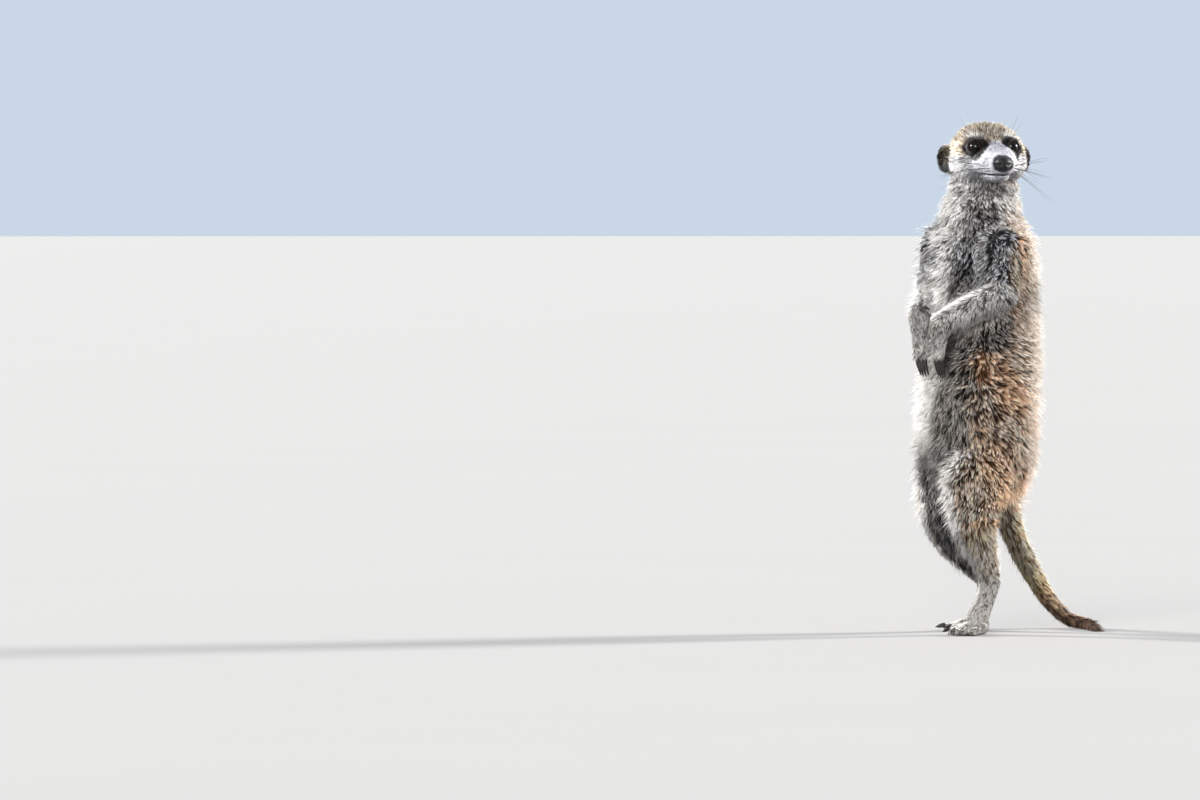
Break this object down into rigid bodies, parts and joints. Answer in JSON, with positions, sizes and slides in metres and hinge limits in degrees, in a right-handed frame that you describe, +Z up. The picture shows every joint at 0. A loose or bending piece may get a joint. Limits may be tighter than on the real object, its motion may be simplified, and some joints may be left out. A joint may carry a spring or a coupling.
{
  "type": "meerkat",
  "caption": "Life-size still model of a meerkat on watch: upright on its hind legs, hands hanging before the belly, head turned to its left and tail down behind it, its end curled along the floor.",
  "frame": {"origin": "on the floor, below the centre of the bounding box", "axes": "+Z up along the standing body; the hips face -Y and the animal's left side is towards +X"},
  "size_m": [0.0826, 0.1216, 0.2992],
  "materials": {
    "body_coat": "long grizzled fur",
    "chest_coat": "grey fur, pale at the throat",
    "face_coat": "short pale fur",
    "limb_coat": "short cream-grey fur",
    "hand_coat": "very short dark fur",
    "tail_coat": "short tan fur with a dark tip",
    "ear": "matt black",
    "nose": "moist",
    "eye": "glossy dark brown",
    "claw": "smooth horn"
  },
  "bodies": {
    "root": {"hips": "body_coat", "belly": "body_coat", "chest": "chest_coat", "neck": "chest_coat", "head": "face_coat", "muzzle": "face_coat", "lower_jaw": "face_coat", "nose": "nose", "ear_left": "ear", "ear_right": "ear", "eye_left": "eye", "eye_right": "eye", "upper_arm_left": "body_coat", "forearm_left": "limb_coat", "hand_left": "hand_coat", "thigh_left": "body_coat", "shank_left": "body_coat", "foot_left": "limb_coat", "claw_hand_left_1": "claw", "claw_hand_left_2": "claw", "claw_hand_left_3": "claw", "claw_hand_left_4": "claw", "claw_foot_left_1": "claw", "claw_foot_left_2": "claw", "claw_foot_left_3": "claw", "claw_foot_left_4": "claw", "upper_arm_right": "body_coat", "forearm_right": "limb_coat", "hand_right": "hand_coat", "thigh_right": "body_coat", "shank_right": "body_coat", "foot_right": "limb_coat", "claw_hand_right_1": "claw", "claw_hand_right_2": "claw", "claw_hand_right_3": "claw", "claw_hand_right_4": "claw", "claw_foot_right_1": "claw", "claw_foot_right_2": "claw", "claw_foot_right_3": "claw", "claw_foot_right_4": "claw", "tail_base": "tail_coat", "tail_middle": "tail_coat", "tail_tip": "tail_coat"}
  },
  "joints": []
}
